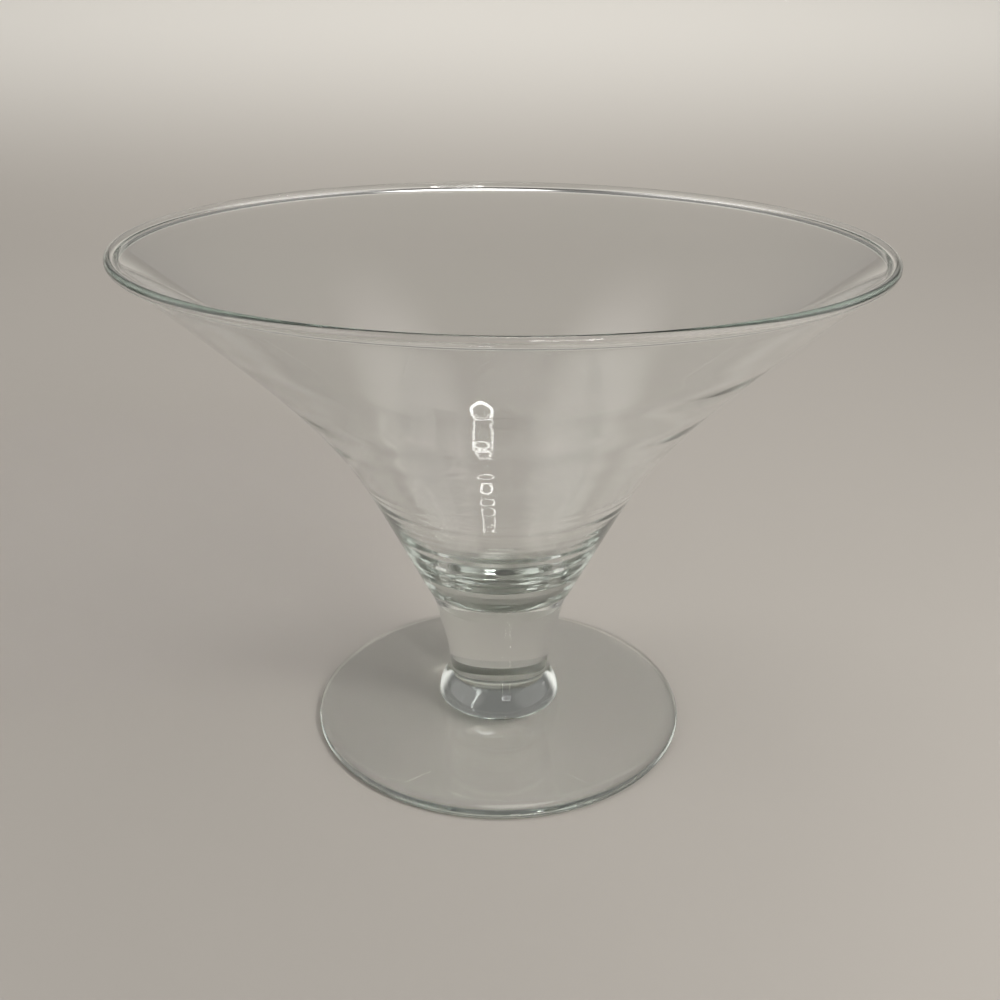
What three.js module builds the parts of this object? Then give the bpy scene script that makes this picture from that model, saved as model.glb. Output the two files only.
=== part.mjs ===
// A footed glass bowl: a flared bowl, a solid stem, a rounded collar and a disc foot, stacked on one axis.
// Millimetres and degrees, +Z up. The origin is the middle of the foot's underside, on the table.
// The four pieces were fused hot, so each meets the next on a flat round joint, face to face.

import * as THREE from "three";

// Foot
const FOOT_DIAMETER = 140;
const FOOT_EDGE_RADIUS = 1.2;
const FOOT_EDGE_ROUNDING = 6;
const FOOT_EDGE_THICKNESS = 3.8;
const FOOT_MIDDLE_THICKNESS = 7.8;

// Collar
const COLLAR_DIAMETER = 47;
const COLLAR_HEIGHT = 9;
const COLLAR_FILLET = 0.6;
const COLLAR_SIDE_PULL = 3;
const COLLAR_SHOULDER_SLOPE = 57;
const COLLAR_SHOULDER_PULL = 2.5;

// Stem
const STEM_BOTTOM_DIAMETER = 36.4;
const STEM_TOP_DIAMETER = 50;
const STEM_LENGTH = 33;
const STEM_BOTTOM_SLOPE = 6.5;
const STEM_BOTTOM_PULL = 10;
const STEM_TOP_SLOPE = 15;
const STEM_TOP_PULL = 12;

// Bowl, where slopes are measured from the vertical and a pull is how far a slope carries along the outline
const RIM_DIAMETER = 250;
const RIM_BEAD_THICKNESS = 3.1;
const RIM_SLOPE = 47.5;
const RIM_PULL = 97.5;
const BOWL_HEIGHT = 133.2;
const BOWL_BASE_SLOPE = 27;
const BOWL_BASE_PULL = 66;
const WALL_THICKNESS = 1.4;
const HOLLOW_FLOOR_THICKNESS = 3.8;
const HOLLOW_TURN_HEIGHT = 48;
const HOLLOW_TURN_PULL = 50;
const HOLLOW_FLOOR_PULL = 25;

// Fineness of the facets
const SIDES_ROUND_AXIS = 48;
const STEPS_ON_LONG_CURVE = 14;
const STEPS_ON_SHORT_CURVE = 7;
const STEPS_ON_BEAD = 10;

// Heights of the joints and the rim
const COLLAR_BASE_HEIGHT = FOOT_MIDDLE_THICKNESS;
const STEM_BASE_HEIGHT = COLLAR_BASE_HEIGHT + COLLAR_HEIGHT;
const BOWL_BASE_HEIGHT = STEM_BASE_HEIGHT + STEM_LENGTH;
const RIM_HEIGHT = BOWL_BASE_HEIGHT + BOWL_HEIGHT;

const point = (radius, height) => new THREE.Vector2(radius, height);

// The unit vector of an outline that climbs outwards at a slope from the vertical
function heading(slope) {
  const angle = THREE.MathUtils.degToRad(slope);
  return point(Math.sin(angle), Math.cos(angle));
}

// The way a wall faces outwards, square to its heading
function facing(direction) {
  return point(direction.y, -direction.x);
}

// The point some distance along a direction
function along(start, direction, distance) {
  return start.clone().addScaledVector(direction, distance);
}

// A curve that leaves its start and reaches its end along given headings
function sweep(start, startHeading, startPull, end, endHeading, endPull) {
  const leave = along(start, startHeading, startPull);
  const reach = along(end, endHeading, -endPull);
  return new THREE.CubicBezierCurve(start, leave, reach, end);
}

// An arc about a centre, counter-clockwise from one point to another
function arc(centre, start, end) {
  const from = start.clone().sub(centre);
  const to = end.clone().sub(centre);
  return new THREE.EllipseCurve(
    centre.x,
    centre.y,
    from.length(),
    from.length(),
    from.angle(),
    to.angle(),
    false,
  );
}

// Turns an outline, which starts and ends on the axis, into a solid of clear glass
function turned(name, outline) {
  const distinct = outline.filter((p, i) => i === 0 || p.distanceTo(outline[i - 1]) > 1e-6);
  const geometry = new THREE.LatheGeometry(distinct, SIDES_ROUND_AXIS);
  geometry.rotateX(Math.PI / 2);
  const glass = new THREE.MeshStandardMaterial({
    color: 0xdfe8e2,
    roughness: 0.04,
    metalness: 0,
    transparent: true,
    opacity: 0.35,
  });
  const mesh = new THREE.Mesh(geometry, glass);
  mesh.name = name;
  return mesh;
}

// The foot: a flat underside, a thin round edge, and a top that curves in and rises to the collar's seat
function foot() {
  const radius = FOOT_DIAMETER / 2;
  const edgeCentre = point(radius - FOOT_EDGE_RADIUS, FOOT_EDGE_RADIUS);
  const widest = point(radius, FOOT_EDGE_RADIUS);
  const edge = arc(edgeCentre, point(edgeCentre.x, 0), widest);
  const topStart = point(radius - FOOT_EDGE_ROUNDING, FOOT_EDGE_THICKNESS);
  const seat = point(COLLAR_DIAMETER / 2, FOOT_MIDDLE_THICKNESS);
  const rise = seat.clone().sub(topStart).normalize();
  const rounding = sweep(
    widest,
    heading(0),
    FOOT_EDGE_RADIUS,
    topStart,
    rise,
    FOOT_EDGE_ROUNDING / 2,
  );
  return turned("foot", [
    point(0, 0),
    ...edge.getPoints(STEPS_ON_SHORT_CURVE),
    ...rounding.getPoints(STEPS_ON_BEAD),
    seat,
    point(0, FOOT_MIDDLE_THICKNESS),
  ]);
}

// The collar: a small fillet out to the foot, a round shoulder and a flat seat for the stem
function stemCollar() {
  const seatRadius = COLLAR_DIAMETER / 2;
  const sideRadius = seatRadius - COLLAR_FILLET;
  const filletTop = point(sideRadius, COLLAR_BASE_HEIGHT + COLLAR_FILLET);
  const fillet = new THREE.QuadraticBezierCurve(
    point(seatRadius, COLLAR_BASE_HEIGHT),
    point(sideRadius, COLLAR_BASE_HEIGHT),
    filletTop,
  );
  const shoulder = sweep(
    filletTop,
    heading(0),
    COLLAR_SIDE_PULL,
    point(STEM_BOTTOM_DIAMETER / 2, STEM_BASE_HEIGHT),
    heading(-COLLAR_SHOULDER_SLOPE),
    COLLAR_SHOULDER_PULL,
  );
  return turned("stem_collar", [
    point(0, COLLAR_BASE_HEIGHT),
    ...fillet.getPoints(STEPS_ON_SHORT_CURVE),
    ...shoulder.getPoints(STEPS_ON_SHORT_CURVE),
    point(0, STEM_BASE_HEIGHT),
  ]);
}

// The stem: solid, narrowest on the collar and opening towards the bowl
function stem() {
  const side = sweep(
    point(STEM_BOTTOM_DIAMETER / 2, STEM_BASE_HEIGHT),
    heading(STEM_BOTTOM_SLOPE),
    STEM_BOTTOM_PULL,
    point(STEM_TOP_DIAMETER / 2, BOWL_BASE_HEIGHT),
    heading(STEM_TOP_SLOPE),
    STEM_TOP_PULL,
  );
  return turned("stem", [
    point(0, STEM_BASE_HEIGHT),
    ...side.getPoints(STEPS_ON_SHORT_CURVE),
    point(0, BOWL_BASE_HEIGHT),
  ]);
}

// The share of a rising curve at which it reaches a height
function shareAtHeight(curve, height) {
  let low = 0;
  let high = 1;
  for (let halving = 0; halving < 40; halving += 1) {
    const middle = (low + high) / 2;
    if (curve.getPoint(middle).y < height) low = middle;
    else high = middle;
  }
  return low;
}

// The bowl: a flared wall of even thickness that ends in a round bead, and thickens into a solid bottom
function bowl() {
  const beadRadius = RIM_BEAD_THICKNESS / 2;
  const beadCentre = point(RIM_DIAMETER / 2 - beadRadius, RIM_HEIGHT - beadRadius);
  const rimHeading = heading(RIM_SLOPE);
  const halfWall = WALL_THICKNESS / 2;
  const wallEnd = along(beadCentre, rimHeading, -Math.sqrt(beadRadius ** 2 - halfWall ** 2));
  const outerEnd = along(wallEnd, facing(rimHeading), halfWall);
  const innerEnd = along(wallEnd, facing(rimHeading), -halfWall);

  const outerFace = sweep(
    point(STEM_TOP_DIAMETER / 2, BOWL_BASE_HEIGHT),
    heading(BOWL_BASE_SLOPE),
    BOWL_BASE_PULL,
    outerEnd,
    rimHeading,
    RIM_PULL,
  );
  const bead = arc(beadCentre, outerEnd, innerEnd);

  // Down to where the hollow turns in, the inner face runs one wall inside the outer face
  const turnShare = shareAtHeight(outerFace, BOWL_BASE_HEIGHT + HOLLOW_TURN_HEIGHT);
  const innerFace = [];
  for (let step = 0; step <= STEPS_ON_LONG_CURVE; step += 1) {
    const share = THREE.MathUtils.lerp(1, turnShare, step / STEPS_ON_LONG_CURVE);
    const outward = facing(outerFace.getTangent(share));
    innerFace.push(along(outerFace.getPoint(share), outward, -WALL_THICKNESS));
  }
  const hollowBottom = sweep(
    innerFace.at(-1),
    outerFace.getTangent(turnShare).negate(),
    HOLLOW_TURN_PULL,
    point(0, BOWL_BASE_HEIGHT + HOLLOW_FLOOR_THICKNESS),
    point(-1, 0),
    HOLLOW_FLOOR_PULL,
  );
  return turned("bowl", [
    point(0, BOWL_BASE_HEIGHT),
    ...outerFace.getPoints(STEPS_ON_LONG_CURVE),
    ...bead.getPoints(STEPS_ON_BEAD),
    ...innerFace,
    ...hollowBottom.getPoints(STEPS_ON_LONG_CURVE),
  ]);
}

const footedBowl = new THREE.Group();
footedBowl.add(foot(), stemCollar(), stem(), bowl());

export default footedBowl;
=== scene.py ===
"""A footed glass bowl on a plain pale table: a flared bowl, a solid stem, a round collar and a disc foot.

Each glass piece is an outline turned about the vertical axis. The outlines repeat the part's own curves, in
metres, and take their joints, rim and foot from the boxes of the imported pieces, so every piece lies where its
solid is.
"""

import math

import bpy
from mathutils import Matrix, Vector


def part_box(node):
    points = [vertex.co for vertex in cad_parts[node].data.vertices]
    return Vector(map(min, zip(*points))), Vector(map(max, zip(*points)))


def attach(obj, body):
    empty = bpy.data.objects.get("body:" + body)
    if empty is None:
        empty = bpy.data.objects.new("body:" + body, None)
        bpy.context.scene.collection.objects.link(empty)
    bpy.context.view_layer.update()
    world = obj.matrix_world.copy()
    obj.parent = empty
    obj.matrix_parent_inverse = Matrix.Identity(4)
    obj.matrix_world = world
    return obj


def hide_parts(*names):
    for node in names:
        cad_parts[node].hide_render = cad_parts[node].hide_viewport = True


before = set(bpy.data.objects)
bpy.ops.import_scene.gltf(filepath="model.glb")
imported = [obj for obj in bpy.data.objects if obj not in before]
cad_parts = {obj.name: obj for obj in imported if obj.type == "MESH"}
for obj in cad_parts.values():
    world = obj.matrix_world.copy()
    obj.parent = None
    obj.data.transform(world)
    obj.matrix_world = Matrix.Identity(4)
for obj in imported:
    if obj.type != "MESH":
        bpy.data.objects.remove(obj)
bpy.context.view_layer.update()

MM = 0.001

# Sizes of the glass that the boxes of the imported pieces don't give, with slopes in degrees from the vertical
WALL_THICKNESS = 1.4 * MM
RIM_BEAD_THICKNESS = 3.1 * MM
RIM_NECK = 3.4 * MM
RIM_SLOPE = 47.5
RIM_PULL = 97.5 * MM
BOWL_BASE_SLOPE = 27
BOWL_BASE_PULL = 66 * MM
HOLLOW_FLOOR_THICKNESS = 3.8 * MM
HOLLOW_TURN_HEIGHT = 48 * MM
HOLLOW_TURN_PULL = 50 * MM
HOLLOW_FLOOR_PULL = 25 * MM
STEM_BOTTOM_RADIUS = 18.2 * MM
STEM_BOTTOM_SLOPE = 6.5
STEM_BOTTOM_PULL = 10 * MM
STEM_TOP_SLOPE = 15
STEM_TOP_PULL = 12 * MM
COLLAR_FILLET = 0.6 * MM
COLLAR_SIDE_PULL = 3 * MM
COLLAR_SHOULDER_SLOPE = 57
COLLAR_SHOULDER_PULL = 2.5 * MM
FOOT_EDGE_RADIUS = 1.2 * MM
FOOT_EDGE_ROUNDING = 6 * MM
FOOT_EDGE_THICKNESS = 3.8 * MM

# Each piece stops this far short of a fused joint, so that light meets the two faces one after the other
JOINT_AIR = 0.02 * MM
JOINT_TOLERANCE = 1e-7
NO_JOINT = -1.0

# Fineness of the turned pieces
SIDES_ROUND_AXIS = 256
OUTER_STEPS = 70
WALL_STEPS = 130
NECK_STEPS = 10
BEAD_STEPS = 24
HOLLOW_STEPS = 130
SHORT_STEPS = 40
HALVINGS = 50

# Points of an outline, and of a turned mesh, that are closer than these become one
SAME_POINT = 1e-7
WELD_DISTANCE = 2e-6

# The rail that an outline is spun on is too small to see
RAIL_RADIUS = 1e-7

# Edges that bend by more than this, in radians, stay crisp
CRISP_BEND = 0.4

# Tool rings inside the bowl, wide swells up the wall and fine lines down in the hollow: how deep and how far
# apart they are, between which heights above the table, and over what height they come and go
RING_SETTINGS = ("depth", "pitch", "from", "to", "fade")
BOWL_RINGS = {
    "Swell": (0.45 * MM, 12 * MM, 112 * MM, 168 * MM, 14 * MM),
    "Line": (0.26 * MM, 2.6 * MM, 58 * MM, 106 * MM, 5 * MM),
}
NO_RINGS = dict.fromkeys(BOWL_RINGS, (0.0, 1.0, 0.0, 1.0, 0.1))

# How often a ring wavers across a metre, and how far a face must look upwards to carry the whole ring
RING_WAVER = 4.0
RING_UPWARD_FACING = 0.2

# The glass: how it bends and dims light, and how far its colour drifts in the melt
GLASS_INDEX = 1.5
NO_BENDING = 1.0
GLASS_TINT = (0.887, 0.9, 0.89)
GLASS_DENSITY = 40.0
MELT_DRIFT_SIZE = 30 * MM
MELT_GREENEST = (0.98, 0.995, 0.985)
MELT_CLEAREST = (1, 1, 1)

# Hazy patches: where in the noise a patch starts and is full, then how large and how rough each glass's are
SMEAR_DETAIL = 3.0
SMEAR_START = 0.5
SMEAR_FULL = 0.75
BOWL_SMEAR_SIZE = 26 * MM
BOWL_HAZE = 0.012
STEM_SMEAR_SIZE = 14 * MM
STEM_HAZE = 0.008
FOOT_SMEAR_SIZE = 9 * MM
FOOT_HAZE = 0.016

# The table, in metres: it runs back to a round sweep that turns up into the backdrop
TABLE_BELOW_FOOT = 0.15 * MM
TABLE_FRONT = -2.5
TABLE_BACK = 0.9
TABLE_HALF_WIDTH = 4
SWEEP_RADIUS = 0.5
SWEEP_STEPS = 12

# Its colours: the table's own, the backdrop's own palest part of the way up, then painted shade that darkens
# the backdrop towards its top and both out to the sides, so they fade into the dim room
TABLE_COLOUR = (0.42, 0.395, 0.365)
TABLE_ROUGHNESS = 0.9
BACKDROP_COLOUR = (0.8, 0.78, 0.74)
BACKDROP_TOP_PAINTED_SHADE = (0.15, 0.147, 0.142)
BACKDROP_HEIGHT = 0.5
BACKDROP_PALEST_SHARE = 0.52
SIDES_PAINTED_SHADE_FROM = 1.0
SIDES_PAINTED_SHADE_DARKEST_FROM = 2.4
SIDES_PAINTED_SHADE_BRIGHTNESS = 0.2

# The lamps, in metres
KEY_SOFTBOX = {
    "place": (0.52, -0.36, 0.52),
    "target": (0, 0, 0.03),
    "width": 0.22,
    "height": 0.22,
    "watts": 3.0,
    "colour": (1.0, 0.98, 0.95),
}
WALL_WASH = {
    "place": (0, 0.5, 1.3),
    "target": (0, 1.4, 0.25),
    "width": 1.6,
    "height": 0.3,
    "watts": 6.5,
    "colour": (1.0, 0.98, 0.94),
}
RING_LAMP_PLACE = (0.69, -2.005, 2.02)
RING_LAMP_TARGET = (0, 0, 0.08)
RING_LAMP_DIAMETER = 0.84
RING_LAMP_BAND = 0.1
RING_LAMP_STRENGTH = 15
RING_LAMP_SIDES = 96

# The room: an even light, and soft patches, each by its azimuth and elevation, the angles within which it is
# full and beyond which it is gone, all in degrees, and its strength
ROOM_COLOUR = (1.0, 0.975, 0.94)
ROOM_LIGHT = 0.07
SOFT_PATCHES = (
    (-105, 24, 18, 46, 1.5),
    (105, 24, 18, 46, 1.25),
    (0, 34, 25, 80, 0.16),
    (10, 70, 3, 9, 4.0),
    (69, 18, 1, 6, 1.2),
)

# Light is guided a long way inside solid glass
LIGHT_BOUNCES = 200
BRIGHTEST_BOUNCE = 40.0

# The camera: sensor and lens in millimetres, place in metres, tilt and roll in degrees
CAMERA_SENSOR = 36
CAMERA_LENS = 39.28
CAMERA_PLACE = (-0.0002, -0.36305, 0.2492)
CAMERA_DOWN = 24.01
CAMERA_ROLL = 0.566


def heading(slope):
    """The unit vector of an outline that climbs outwards at a slope, in degrees from the vertical."""
    angle = math.radians(slope)
    return Vector((math.sin(angle), math.cos(angle)))


def facing(direction):
    """The way a wall faces outwards, square to its heading."""
    return Vector((direction.y, -direction.x))


class Sweep:
    """A curve that leaves its start and reaches its end along given headings."""

    def __init__(self, start, start_heading, start_pull, end, end_heading, end_pull):
        self.corners = (
            Vector(start),
            Vector(start) + start_heading * start_pull,
            Vector(end) - end_heading * end_pull,
            Vector(end),
        )

    def point(self, share):
        a, b, c, d = self.corners
        rest = 1 - share
        return rest**3 * a + 3 * rest**2 * share * b + 3 * rest * share**2 * c + share**3 * d

    def tangent(self, share):
        a, b, c, d = self.corners
        rest = 1 - share
        slope = rest**2 * (b - a) + 2 * rest * share * (c - b) + share**2 * (d - c)
        return slope.normalized()

    def points(self, steps):
        return [self.point(step / steps) for step in range(steps + 1)]

    def share_at_height(self, height):
        """The share at which a rising curve reaches a height."""
        low, high = 0.0, 1.0
        for _ in range(HALVINGS):
            middle = (low + high) / 2
            if self.point(middle).y < height:
                low = middle
            else:
                high = middle
        return low


def arc_points(centre, start, end, steps):
    """Points counter-clockwise about a centre, from one point to another."""
    reach = (start - centre).length
    first = math.atan2(start.y - centre.y, start.x - centre.x)
    last = math.atan2(end.y - centre.y, end.x - centre.x)
    if last <= first:
        last += 2 * math.pi
    turns = [first + (last - first) * step / steps for step in range(steps + 1)]
    return [centre + reach * Vector((math.cos(turn), math.sin(turn))) for turn in turns]


def foot_outline():
    """A flat underside, a thin round edge, and a top that curves in and rises to the collar's seat."""
    low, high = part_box("foot")
    widest = Vector((high.x, low.z + FOOT_EDGE_RADIUS))
    edge_centre = widest - Vector((FOOT_EDGE_RADIUS, 0))
    below = Vector((edge_centre.x, low.z))
    top_start = Vector((high.x - FOOT_EDGE_ROUNDING, low.z + FOOT_EDGE_THICKNESS))
    seat = Vector((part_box("stem_collar")[1].x, high.z - JOINT_AIR))
    rise = (seat - top_start).normalized()
    rounding = Sweep(widest, heading(0), FOOT_EDGE_RADIUS, top_start, rise, FOOT_EDGE_ROUNDING / 2)
    return [
        Vector((0, low.z)),
        *arc_points(edge_centre, below, widest, SHORT_STEPS),
        *rounding.points(SHORT_STEPS),
        seat,
        Vector((0, seat.y)),
    ]


def collar_outline():
    """A small fillet out to the foot, a round shoulder and a flat seat for the stem."""
    low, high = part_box("stem_collar")
    base = low.z + JOINT_AIR
    top = high.z - JOINT_AIR
    filleted = Vector((high.x - COLLAR_FILLET, base + COLLAR_FILLET))
    fillet_centre = Vector((high.x, filleted.y))
    fillet = arc_points(fillet_centre, filleted, Vector((high.x, base)), SHORT_STEPS)
    shoulder = Sweep(
        filleted,
        heading(0),
        COLLAR_SIDE_PULL,
        (STEM_BOTTOM_RADIUS, top),
        heading(-COLLAR_SHOULDER_SLOPE),
        COLLAR_SHOULDER_PULL,
    )
    return [Vector((0, base)), *fillet[::-1], *shoulder.points(SHORT_STEPS), Vector((0, top))]


def stem_outline():
    """Solid, narrowest on the collar and opening towards the bowl."""
    low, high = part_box("stem")
    base = low.z + JOINT_AIR
    top = high.z - JOINT_AIR
    side = Sweep(
        (STEM_BOTTOM_RADIUS, base),
        heading(STEM_BOTTOM_SLOPE),
        STEM_BOTTOM_PULL,
        (high.x, top),
        heading(STEM_TOP_SLOPE),
        STEM_TOP_PULL,
    )
    return [Vector((0, base)), *side.points(SHORT_STEPS), Vector((0, top))]


def bowl_outline():
    """A flared wall that swells softly into a round bead, and thickens into a solid bottom."""
    low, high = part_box("bowl")
    base = low.z + JOINT_AIR
    bead_radius = RIM_BEAD_THICKNESS / 2
    bead_centre = Vector((high.x - bead_radius, high.z - bead_radius))
    rim = heading(RIM_SLOPE)
    half_wall = WALL_THICKNESS / 2
    wall_end = bead_centre - rim * RIM_NECK
    outer_end = wall_end + facing(rim) * half_wall
    inner_end = wall_end - facing(rim) * half_wall
    bead_start = bead_centre + facing(rim) * bead_radius
    bead_end = bead_centre - facing(rim) * bead_radius
    bead_in = Sweep(outer_end, rim, RIM_NECK / 2, bead_start, rim, RIM_NECK / 3)
    bead_out = Sweep(bead_end, -rim, RIM_NECK / 3, inner_end, -rim, RIM_NECK / 2)
    outer_face = Sweep(
        (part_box("stem")[1].x, base),
        heading(BOWL_BASE_SLOPE),
        BOWL_BASE_PULL,
        outer_end,
        rim,
        RIM_PULL,
    )

    # Down to where the hollow turns in, the inner face runs one wall inside the outer face
    turn = outer_face.share_at_height(low.z + HOLLOW_TURN_HEIGHT)
    inner_face = []
    for step in range(WALL_STEPS + 1):
        share = 1 + (turn - 1) * step / WALL_STEPS
        outward = facing(outer_face.tangent(share))
        inner_face.append(outer_face.point(share) - outward * WALL_THICKNESS)
    hollow = Sweep(
        inner_face[-1],
        -outer_face.tangent(turn),
        HOLLOW_TURN_PULL,
        (0, low.z + HOLLOW_FLOOR_THICKNESS),
        Vector((-1, 0)),
        HOLLOW_FLOOR_PULL,
    )
    return [
        Vector((0, base)),
        *outer_face.points(OUTER_STEPS),
        *bead_in.points(NECK_STEPS),
        *arc_points(bead_centre, bead_start, bead_end, BEAD_STEPS),
        *bead_out.points(NECK_STEPS),
        *inner_face,
        *hollow.points(HOLLOW_STEPS),
    ]


def linked(name, data):
    """A new object of the scene."""
    thing = bpy.data.objects.new(name, data)
    bpy.context.scene.collection.objects.link(thing)
    return thing


def outline_object(name, outline):
    """An open line of points, radius along X and height down Y, which is how the turning tree spins it."""
    mesh = bpy.data.meshes.new(name)
    corners = [outline[0]]
    for corner in outline[1:]:
        if (corner - corners[-1]).length > SAME_POINT:
            corners.append(corner)
    edges = [(i, i + 1) for i in range(len(corners) - 1)]
    mesh.from_pydata([(corner.x, -corner.y, 0) for corner in corners], edges, [])
    return linked(name, mesh)


def add_node(tree, kind, **settings):
    node = tree.nodes.new(kind)
    for key, value in settings.items():
        setattr(node, key, value)
    return node


def feed(tree, socket, value):
    """Links a socket to another, or sets it to a plain value."""
    if isinstance(value, bpy.types.NodeSocket):
        tree.links.new(value, socket)
    else:
        socket.default_value = value


def maths(tree, operation, *values):
    """A Math node on sockets or plain numbers; returns its result socket."""
    node = add_node(tree, "ShaderNodeMath", operation=operation)
    for socket, value in zip(node.inputs, values):
        feed(tree, socket, value)
    return node.outputs[0]


def eased(tree, value, start, end, least=0.0, most=1.0, way="SMOOTHSTEP"):
    """Goes from the least at a start to the most at an end; returns the result socket of a Map Range node."""
    node = add_node(tree, "ShaderNodeMapRange", interpolation_type=way)
    feed(tree, node.inputs["Value"], value)
    feed(tree, node.inputs["From Min"], start)
    feed(tree, node.inputs["From Max"], end)
    node.inputs["To Min"].default_value = least
    node.inputs["To Max"].default_value = most
    return node.outputs["Result"]


def ring_wave(tree, spot, depth, pitch, start, end, fade):
    """How far one kind of tool ring lifts the glass at a spot, fading out at both ends of its stretch."""
    where = add_node(tree, "ShaderNodeCombineXYZ")
    for axis in "XY":
        feed(tree, where.inputs[axis], maths(tree, "MULTIPLY", spot[axis], RING_WAVER))
    feed(tree, where.inputs["Z"], maths(tree, "DIVIDE", spot["Z"], pitch))
    noise = add_node(tree, "ShaderNodeTexNoise")
    noise.inputs["Scale"].default_value = 1.0
    noise.inputs["Detail"].default_value = 0.0
    feed(tree, noise.inputs["Vector"], where.outputs["Vector"])
    come = eased(tree, spot["Z"], start, maths(tree, "ADD", start, fade))
    go = eased(tree, spot["Z"], end, maths(tree, "SUBTRACT", end, fade))
    wave = maths(tree, "MULTIPLY", maths(tree, "SUBTRACT", noise.outputs["Fac"], 0.5), depth)
    return maths(tree, "MULTIPLY", maths(tree, "MULTIPLY", wave, come), go)


def turning_tree():
    """Spins an outline about the vertical axis into closed glass, with tool rings and marked joint faces."""
    tree = bpy.data.node_groups.new("Turned glass", "GeometryNodeTree")
    ring_names = [f"{kind} {what}" for kind in BOWL_RINGS for what in RING_SETTINGS]
    sockets = [
        ("Outline", "NodeSocketGeometry"),
        ("Sides", "NodeSocketInt"),
        ("Joint below", "NodeSocketFloat"),
        ("Joint above", "NodeSocketFloat"),
        *((name, "NodeSocketFloat") for name in ring_names),
        ("Glass", "NodeSocketMaterial"),
    ]
    for name, kind in sockets:
        tree.interface.new_socket(name, in_out="INPUT", socket_type=kind)
    tree.interface.new_socket("Turned", in_out="OUTPUT", socket_type="NodeSocketGeometry")
    link = tree.links.new
    given = add_node(tree, "NodeGroupInput").outputs

    # The outline, spun and closed
    line = add_node(tree, "GeometryNodeMeshToCurve")
    link(given["Outline"], line.inputs["Mesh"])
    rail = add_node(tree, "GeometryNodeCurvePrimitiveCircle")
    link(given["Sides"], rail.inputs["Resolution"])
    rail.inputs["Radius"].default_value = RAIL_RADIUS
    spun = add_node(tree, "GeometryNodeCurveToMesh")
    link(rail.outputs["Curve"], spun.inputs["Curve"])
    link(line.outputs["Curve"], spun.inputs["Profile Curve"])
    outward = add_node(tree, "GeometryNodeFlipFaces")
    link(spun.outputs["Mesh"], outward.inputs["Mesh"])
    closed = add_node(tree, "GeometryNodeMergeByDistance")
    closed.inputs["Distance"].default_value = WELD_DISTANCE
    link(outward.outputs["Mesh"], closed.inputs["Geometry"])

    # Tool rings, only on faces that look upwards, which are the inside of the bowl
    place = add_node(tree, "GeometryNodeInputPosition")
    apart = add_node(tree, "ShaderNodeSeparateXYZ")
    link(place.outputs["Position"], apart.inputs["Vector"])
    spot = apart.outputs
    lift = 0.0
    for kind in BOWL_RINGS:
        settings = [given[f"{kind} {what}"] for what in RING_SETTINGS]
        lift = maths(tree, "ADD", ring_wave(tree, spot, *settings), lift)
    normal = add_node(tree, "GeometryNodeInputNormal")
    upward = add_node(tree, "ShaderNodeSeparateXYZ")
    link(normal.outputs["Normal"], upward.inputs["Vector"])
    inside = eased(tree, upward.outputs["Z"], 0.0, RING_UPWARD_FACING)
    push = add_node(tree, "ShaderNodeVectorMath", operation="SCALE")
    link(normal.outputs["Normal"], push.inputs["Vector"])
    link(maths(tree, "MULTIPLY", lift, inside), push.inputs["Scale"])
    ringed = add_node(tree, "GeometryNodeSetPosition")
    link(closed.outputs["Geometry"], ringed.inputs["Geometry"])
    link(push.outputs["Vector"], ringed.inputs["Offset"])

    # The faces where two pieces were fused while hot carry a mark for the glass to read
    below = maths(tree, "COMPARE", spot["Z"], given["Joint below"], JOINT_TOLERANCE)
    above = maths(tree, "COMPARE", spot["Z"], given["Joint above"], JOINT_TOLERANCE)
    marked = add_node(tree, "GeometryNodeStoreNamedAttribute", data_type="FLOAT", domain="FACE")
    marked.inputs["Name"].default_value = "fused_joint"
    link(ringed.outputs["Geometry"], marked.inputs["Geometry"])
    link(maths(tree, "MAXIMUM", below, above), marked.inputs["Value"])

    # Smooth all round, but crisp where a side meets a flat face
    bend = add_node(tree, "GeometryNodeInputMeshEdgeAngle")
    smooth = add_node(tree, "GeometryNodeSetShadeSmooth", domain="FACE")
    link(marked.outputs["Geometry"], smooth.inputs["Geometry"])
    crisp = add_node(tree, "GeometryNodeSetShadeSmooth", domain="EDGE")
    crisp.inputs["Shade Smooth"].default_value = False
    link(smooth.outputs["Geometry"], crisp.inputs["Geometry"])
    link(maths(tree, "GREATER_THAN", bend.outputs["Unsigned Angle"], CRISP_BEND), crisp.inputs["Selection"])

    real = add_node(tree, "GeometryNodeRealizeInstances")
    link(crisp.outputs["Geometry"], real.inputs["Geometry"])
    glass = add_node(tree, "GeometryNodeSetMaterial")
    link(real.outputs["Geometry"], glass.inputs["Geometry"])
    link(given["Glass"], glass.inputs["Material"])
    link(glass.outputs["Geometry"], add_node(tree, "NodeGroupOutput").inputs["Turned"])
    return tree


def turned(name, tree, outline, glass, joint_below=NO_JOINT, joint_above=NO_JOINT, rings=NO_RINGS):
    """A plain mesh made by the turning tree from an outline, with the tree's inputs set."""
    line = outline_object(name + "_outline", outline)
    spin = line.modifiers.new("turning", "NODES")
    spin.node_group = tree
    values = {
        "Sides": SIDES_ROUND_AXIS,
        "Glass": glass,
        "Joint below": joint_below,
        "Joint above": joint_above,
    }
    for kind, settings in rings.items():
        for what, value in zip(RING_SETTINGS, settings):
            values[f"{kind} {what}"] = value
    for socket in tree.interface.items_tree:
        if socket.in_out == "INPUT" and socket.name in values:
            spin[socket.identifier] = values[socket.name]
    seen = bpy.context.evaluated_depsgraph_get()
    mesh = bpy.data.meshes.new_from_object(line.evaluated_get(seen))
    mesh.name = name
    bpy.data.objects.remove(line)
    return linked(name, mesh)


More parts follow.
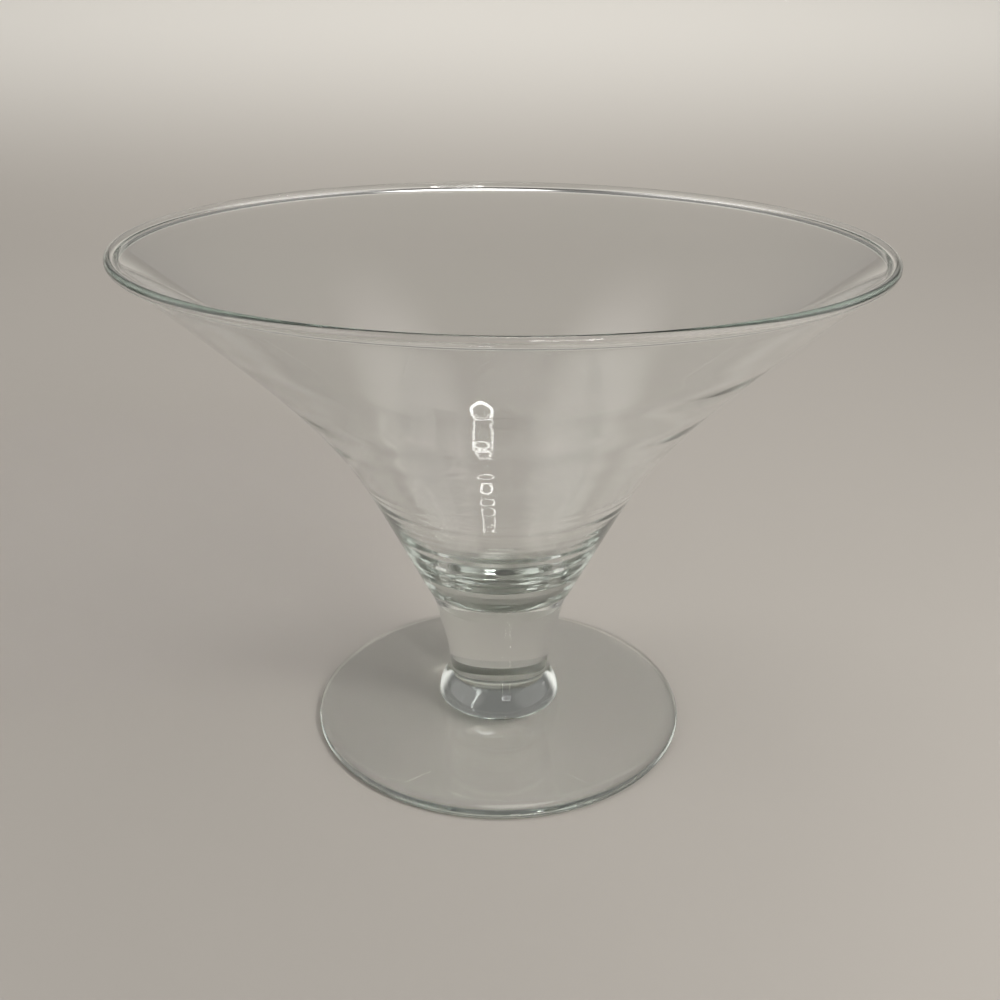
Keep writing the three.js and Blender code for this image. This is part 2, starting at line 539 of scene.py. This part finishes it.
def glass_material(name, smear_size, haziest):
    """Clear, faintly green glass, a shade less clear where it was wiped and handled."""
    material = bpy.data.materials.new(name)
    material.use_nodes = True
    tree = material.node_tree
    link = tree.links.new
    glass = tree.nodes["Principled BSDF"]
    glass.inputs["Transmission Weight"].default_value = 1.0
    glass.inputs["IOR"].default_value = GLASS_INDEX

    # The light goes straight on where two pieces are fused into one
    joint = add_node(tree, "ShaderNodeAttribute", attribute_name="fused_joint")
    bending = eased(tree, joint.outputs["Fac"], 0.0, 1.0, GLASS_INDEX, NO_BENDING, "LINEAR")
    link(bending, glass.inputs["IOR"])

    # Finger marks and wiping leave hazy patches
    spot = add_node(tree, "ShaderNodeTexCoord")
    smear = add_node(tree, "ShaderNodeTexNoise")
    smear.inputs["Scale"].default_value = 1 / smear_size
    smear.inputs["Detail"].default_value = SMEAR_DETAIL
    link(spot.outputs["Object"], smear.inputs["Vector"])
    haze = eased(tree, smear.outputs["Fac"], SMEAR_START, SMEAR_FULL, most=haziest)
    link(haze, glass.inputs["Roughness"])

    # The melt was never quite even, so its colour drifts a little
    melt = add_node(tree, "ShaderNodeTexNoise")
    melt.inputs["Scale"].default_value = 1 / MELT_DRIFT_SIZE
    link(spot.outputs["Object"], melt.inputs["Vector"])
    drift = add_node(tree, "ShaderNodeValToRGB")
    for stop, colour in zip(drift.color_ramp.elements, (MELT_GREENEST, MELT_CLEAREST)):
        stop.color = (*colour, 1)
    link(melt.outputs["Fac"], drift.inputs["Fac"])
    link(drift.outputs["Color"], glass.inputs["Base Color"])

    # Thick glass is darker than thin glass
    tint = add_node(tree, "ShaderNodeVolumeAbsorption")
    tint.inputs["Color"].default_value = (*GLASS_TINT, 1)
    tint.inputs["Density"].default_value = GLASS_DENSITY
    link(tint.outputs["Volume"], tree.nodes["Material Output"].inputs["Volume"])
    return material


def lower_joint(node):
    """The height of the joint face at the bottom of a fine piece."""
    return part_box(node)[0].z + JOINT_AIR


def upper_joint(node):
    """The height of the joint face at the top of a fine piece."""
    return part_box(node)[1].z - JOINT_AIR


turning = turning_tree()
bowl_glass = glass_material("clear_bowl_glass", BOWL_SMEAR_SIZE, BOWL_HAZE)
stem_glass = glass_material("clear_stem_glass", STEM_SMEAR_SIZE, STEM_HAZE)
foot_glass = glass_material("clear_foot_glass", FOOT_SMEAR_SIZE, FOOT_HAZE)

bowl = turned("bowl_fine", turning, bowl_outline(), bowl_glass, lower_joint("bowl"), rings=BOWL_RINGS)
stem = turned("stem_fine", turning, stem_outline(), stem_glass, lower_joint("stem"), upper_joint("stem"))
collar = turned(
    "stem_collar_fine",
    turning,
    collar_outline(),
    stem_glass,
    lower_joint("stem_collar"),
    upper_joint("stem_collar"),
)
foot = turned("foot_fine", turning, foot_outline(), foot_glass, joint_above=upper_joint("foot"))
for piece, node, slot in (
    (bowl, "bowl", "bowl_glass"),
    (stem, "stem", "stem_glass"),
    (collar, "stem_collar", "stem_glass"),
    (foot, "foot", "foot_glass"),
):
    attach(piece, "root")
    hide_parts(node)


def table_material():
    """Plain and matt: the colours of table and backdrop by height, with painted shade darker towards the
    backdrop's top and out to the sides.
    """
    material = bpy.data.materials.new("pale_table")
    material.use_nodes = True
    tree = material.node_tree
    link = tree.links.new
    paint = tree.nodes["Principled BSDF"]
    paint.inputs["Roughness"].default_value = TABLE_ROUGHNESS
    spot = add_node(tree, "ShaderNodeTexCoord")
    apart = add_node(tree, "ShaderNodeSeparateXYZ")
    link(spot.outputs["Object"], apart.inputs["Vector"])
    # Painted shade: past its palest band the backdrop darkens towards its top, to fade into the dim room
    shade = add_node(tree, "ShaderNodeValToRGB")
    link(eased(tree, apart.outputs["Z"], 0.0, BACKDROP_HEIGHT, way="LINEAR"), shade.inputs["Fac"])
    ramp = shade.color_ramp
    ramp.interpolation = "EASE"
    ramp.elements[0].color = (*TABLE_COLOUR, 1)
    ramp.elements[1].color = (*BACKDROP_TOP_PAINTED_SHADE, 1)
    ramp.elements.new(BACKDROP_PALEST_SHARE).color = (*BACKDROP_COLOUR, 1)
    # Painted shade: table and backdrop darken out to the sides, to fade into the dim room
    aside = maths(tree, "ABSOLUTE", apart.outputs["X"])
    side = eased(tree, aside, SIDES_PAINTED_SHADE_FROM, SIDES_PAINTED_SHADE_DARKEST_FROM, 1.0, SIDES_PAINTED_SHADE_BRIGHTNESS)
    dim = add_node(tree, "ShaderNodeVectorMath", operation="SCALE")
    link(shade.outputs["Color"], dim.inputs["Vector"])
    link(side, dim.inputs["Scale"])
    link(dim.outputs["Vector"], paint.inputs["Base Color"])
    return material


def table():
    """A plain pale table that sweeps up behind into a backdrop."""
    line = [(TABLE_FRONT, 0.0), (TABLE_BACK, 0.0)]
    for step in range(1, SWEEP_STEPS + 1):
        turn = math.radians(90 * step / SWEEP_STEPS)
        back = TABLE_BACK + SWEEP_RADIUS * math.sin(turn)
        line.append((back, SWEEP_RADIUS - SWEEP_RADIUS * math.cos(turn)))
    ends = (-TABLE_HALF_WIDTH, TABLE_HALF_WIDTH)
    corners = [(x, y, z - TABLE_BELOW_FOOT) for y, z in line for x in ends]
    faces = [(2 * i, 2 * i + 1, 2 * i + 3, 2 * i + 2) for i in range(len(line) - 1)]
    mesh = bpy.data.meshes.new("table")
    mesh.from_pydata(corners, [], faces)
    for polygon in mesh.polygons:
        polygon.use_smooth = True
    mesh.materials.append(table_material())
    linked("table", mesh)


def stand(lamp, place, target, front):
    """Puts a lamp in its place with its front axis towards a target."""
    lamp.location = place
    lamp.rotation_euler = (Vector(target) - Vector(place)).to_track_quat(front, "Y").to_euler()


def soft_light(name, place, target, width, height, watts, colour):
    """A softbox that lights the scene without showing up as a rectangle in the glass."""
    light = bpy.data.lights.new(name, "AREA")
    light.shape = "RECTANGLE"
    light.size = width
    light.size_y = height
    light.energy = watts
    light.color = colour
    lamp = linked(name, light)
    stand(lamp, place, target, "-Z")
    lamp.visible_glossy = False
    lamp.visible_transmission = False


def glow_material(name):
    """A material that only shines; returns it with the inputs of its glow."""
    material = bpy.data.materials.new(name)
    material.use_nodes = True
    tree = material.node_tree
    glow = add_node(tree, "ShaderNodeEmission")
    tree.links.new(glow.outputs["Emission"], tree.nodes["Material Output"].inputs["Surface"])
    return material, glow.inputs


def light_through_glass(name, place, target, width, height, watts, colour):
    """The light of a softbox that reaches the table through the glass, which its lamp leaves out."""
    reach_x, reach_y = width / 2, height / 2
    corners = [
        (-reach_x, -reach_y, 0),
        (reach_x, -reach_y, 0),
        (reach_x, reach_y, 0),
        (-reach_x, reach_y, 0),
    ]
    mesh = bpy.data.meshes.new(name)
    mesh.from_pydata(corners, [], [(0, 1, 2, 3)])
    material, glow = glow_material(name)
    material.cycles.emission_sampling = "NONE"
    glow["Color"].default_value = (*colour, 1)

    # It shines only where the table scatters the light on, so it never shows in the glass itself
    tree = material.node_tree
    path = add_node(tree, "ShaderNodeLightPath")
    from_table = maths(tree, "MINIMUM", path.outputs["Diffuse Depth"], 1.0)
    radiance = watts / (math.pi * width * height)
    tree.links.new(maths(tree, "MULTIPLY", from_table, radiance), glow["Strength"])
    mesh.materials.append(material)
    panel = linked(name, mesh)
    stand(panel, place, target, "-Z")
    panel.visible_camera = False
    panel.visible_diffuse = False
    panel.visible_glossy = False
    panel.visible_shadow = False


def ring_lamp():
    """A flat ring of light, which draws the column of small bright rings on the far wall of the bowl."""
    outer = RING_LAMP_DIAMETER / 2
    corners = []
    for step in range(RING_LAMP_SIDES):
        turn = 2 * math.pi * step / RING_LAMP_SIDES
        for reach in (outer - RING_LAMP_BAND, outer):
            corners.append((reach * math.cos(turn), reach * math.sin(turn), 0))
    faces = []
    for step in range(RING_LAMP_SIDES):
        a = 2 * step
        b = 2 * ((step + 1) % RING_LAMP_SIDES)
        faces.append((a, a + 1, b + 1, b))
    mesh = bpy.data.meshes.new("ring_lamp")
    mesh.from_pydata(corners, [], faces)
    material, glow = glow_material("ring_lamp_light")
    glow["Strength"].default_value = RING_LAMP_STRENGTH
    mesh.materials.append(material)
    lamp = linked("ring_lamp", mesh)
    stand(lamp, RING_LAMP_PLACE, RING_LAMP_TARGET, "Z")


def toward(azimuth, elevation):
    """The unit vector to a place in the room, in degrees: azimuth from straight back round to the right."""
    turn, lift = math.radians(azimuth), math.radians(elevation)
    return Vector((math.sin(turn) * math.cos(lift), math.cos(turn) * math.cos(lift), math.sin(lift)))


def room_light():
    """A dim even room: wide soft light on both sides, a weak one behind, small ones above and right."""
    world = bpy.data.worlds.new("room")
    world.use_nodes = True
    tree = world.node_tree
    link = tree.links.new
    look = add_node(tree, "ShaderNodeTexCoord")
    level = ROOM_LIGHT
    for azimuth, elevation, inner, outer, strength in SOFT_PATCHES:
        dot = add_node(tree, "ShaderNodeVectorMath", operation="DOT_PRODUCT")
        link(look.outputs["Generated"], dot.inputs[0])
        dot.inputs[1].default_value = toward(azimuth, elevation)
        gone = math.cos(math.radians(outer))
        full = math.cos(math.radians(inner))
        patch = eased(tree, dot.outputs["Value"], gone, full, most=strength, way="SMOOTHERSTEP")
        level = maths(tree, "ADD", patch, level)
    background = tree.nodes["Background"]
    background.inputs["Color"].default_value = (*ROOM_COLOUR, 1)
    link(level, background.inputs["Strength"])
    bpy.context.scene.world = world


def camera():
    """In front of the bowl and above its rim, looking down on it."""
    lens = bpy.data.cameras.new("camera")
    lens.sensor_width = CAMERA_SENSOR
    lens.lens = CAMERA_LENS
    eye = linked("camera", lens)
    eye.matrix_world = (
        Matrix.Translation(CAMERA_PLACE)
        @ Matrix.Rotation(math.radians(90 - CAMERA_DOWN), 4, "X")
        @ Matrix.Rotation(math.radians(CAMERA_ROLL), 4, "Z")
    )
    return eye


table()
soft_light("key_softbox", **KEY_SOFTBOX)
light_through_glass("key_through_glass", **KEY_SOFTBOX)
soft_light("wall_wash", **WALL_WASH)
ring_lamp()
room_light()

scene = bpy.context.scene
scene.view_settings.view_transform = "Standard"
scene.cycles.max_bounces = LIGHT_BOUNCES
scene.cycles.transmission_bounces = LIGHT_BOUNCES
scene.cycles.glossy_bounces = LIGHT_BOUNCES
scene.cycles.blur_glossy = 0.0
scene.cycles.sample_clamp_indirect = BRIGHTEST_BOUNCE
scene.camera = camera()
